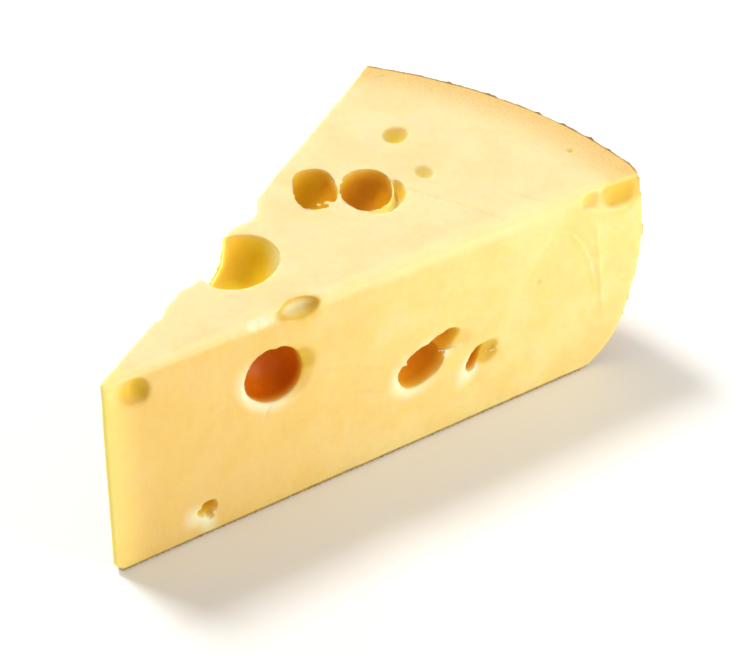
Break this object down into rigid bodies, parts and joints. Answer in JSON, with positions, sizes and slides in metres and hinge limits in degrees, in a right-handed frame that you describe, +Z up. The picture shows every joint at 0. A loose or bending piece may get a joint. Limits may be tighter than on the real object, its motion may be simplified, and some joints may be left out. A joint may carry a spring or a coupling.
{
  "type": "cheese wedge",
  "caption": "Pointed wedge of pale yellow semi-hard cheese with round gas eyes, cut from a low wheel, with thin rind on its rim and base.",
  "frame": {"origin": "centre of the bounding box in X and Y, on the flat base", "axes": "+Z up from the base to the top cut, +Y from the sharp tip towards the rind at the rim, +X to the right of that"},
  "size_m": [0.0902, 0.164, 0.0612],
  "materials": {
    "cheese_paste": "moist, slightly waxy cut cheese, pale warm yellow and a little translucent, with a thin tan rind"
  },
  "bodies": {
    "root": {"cheese_wedge": "cheese_paste"}
  },
  "joints": []
}
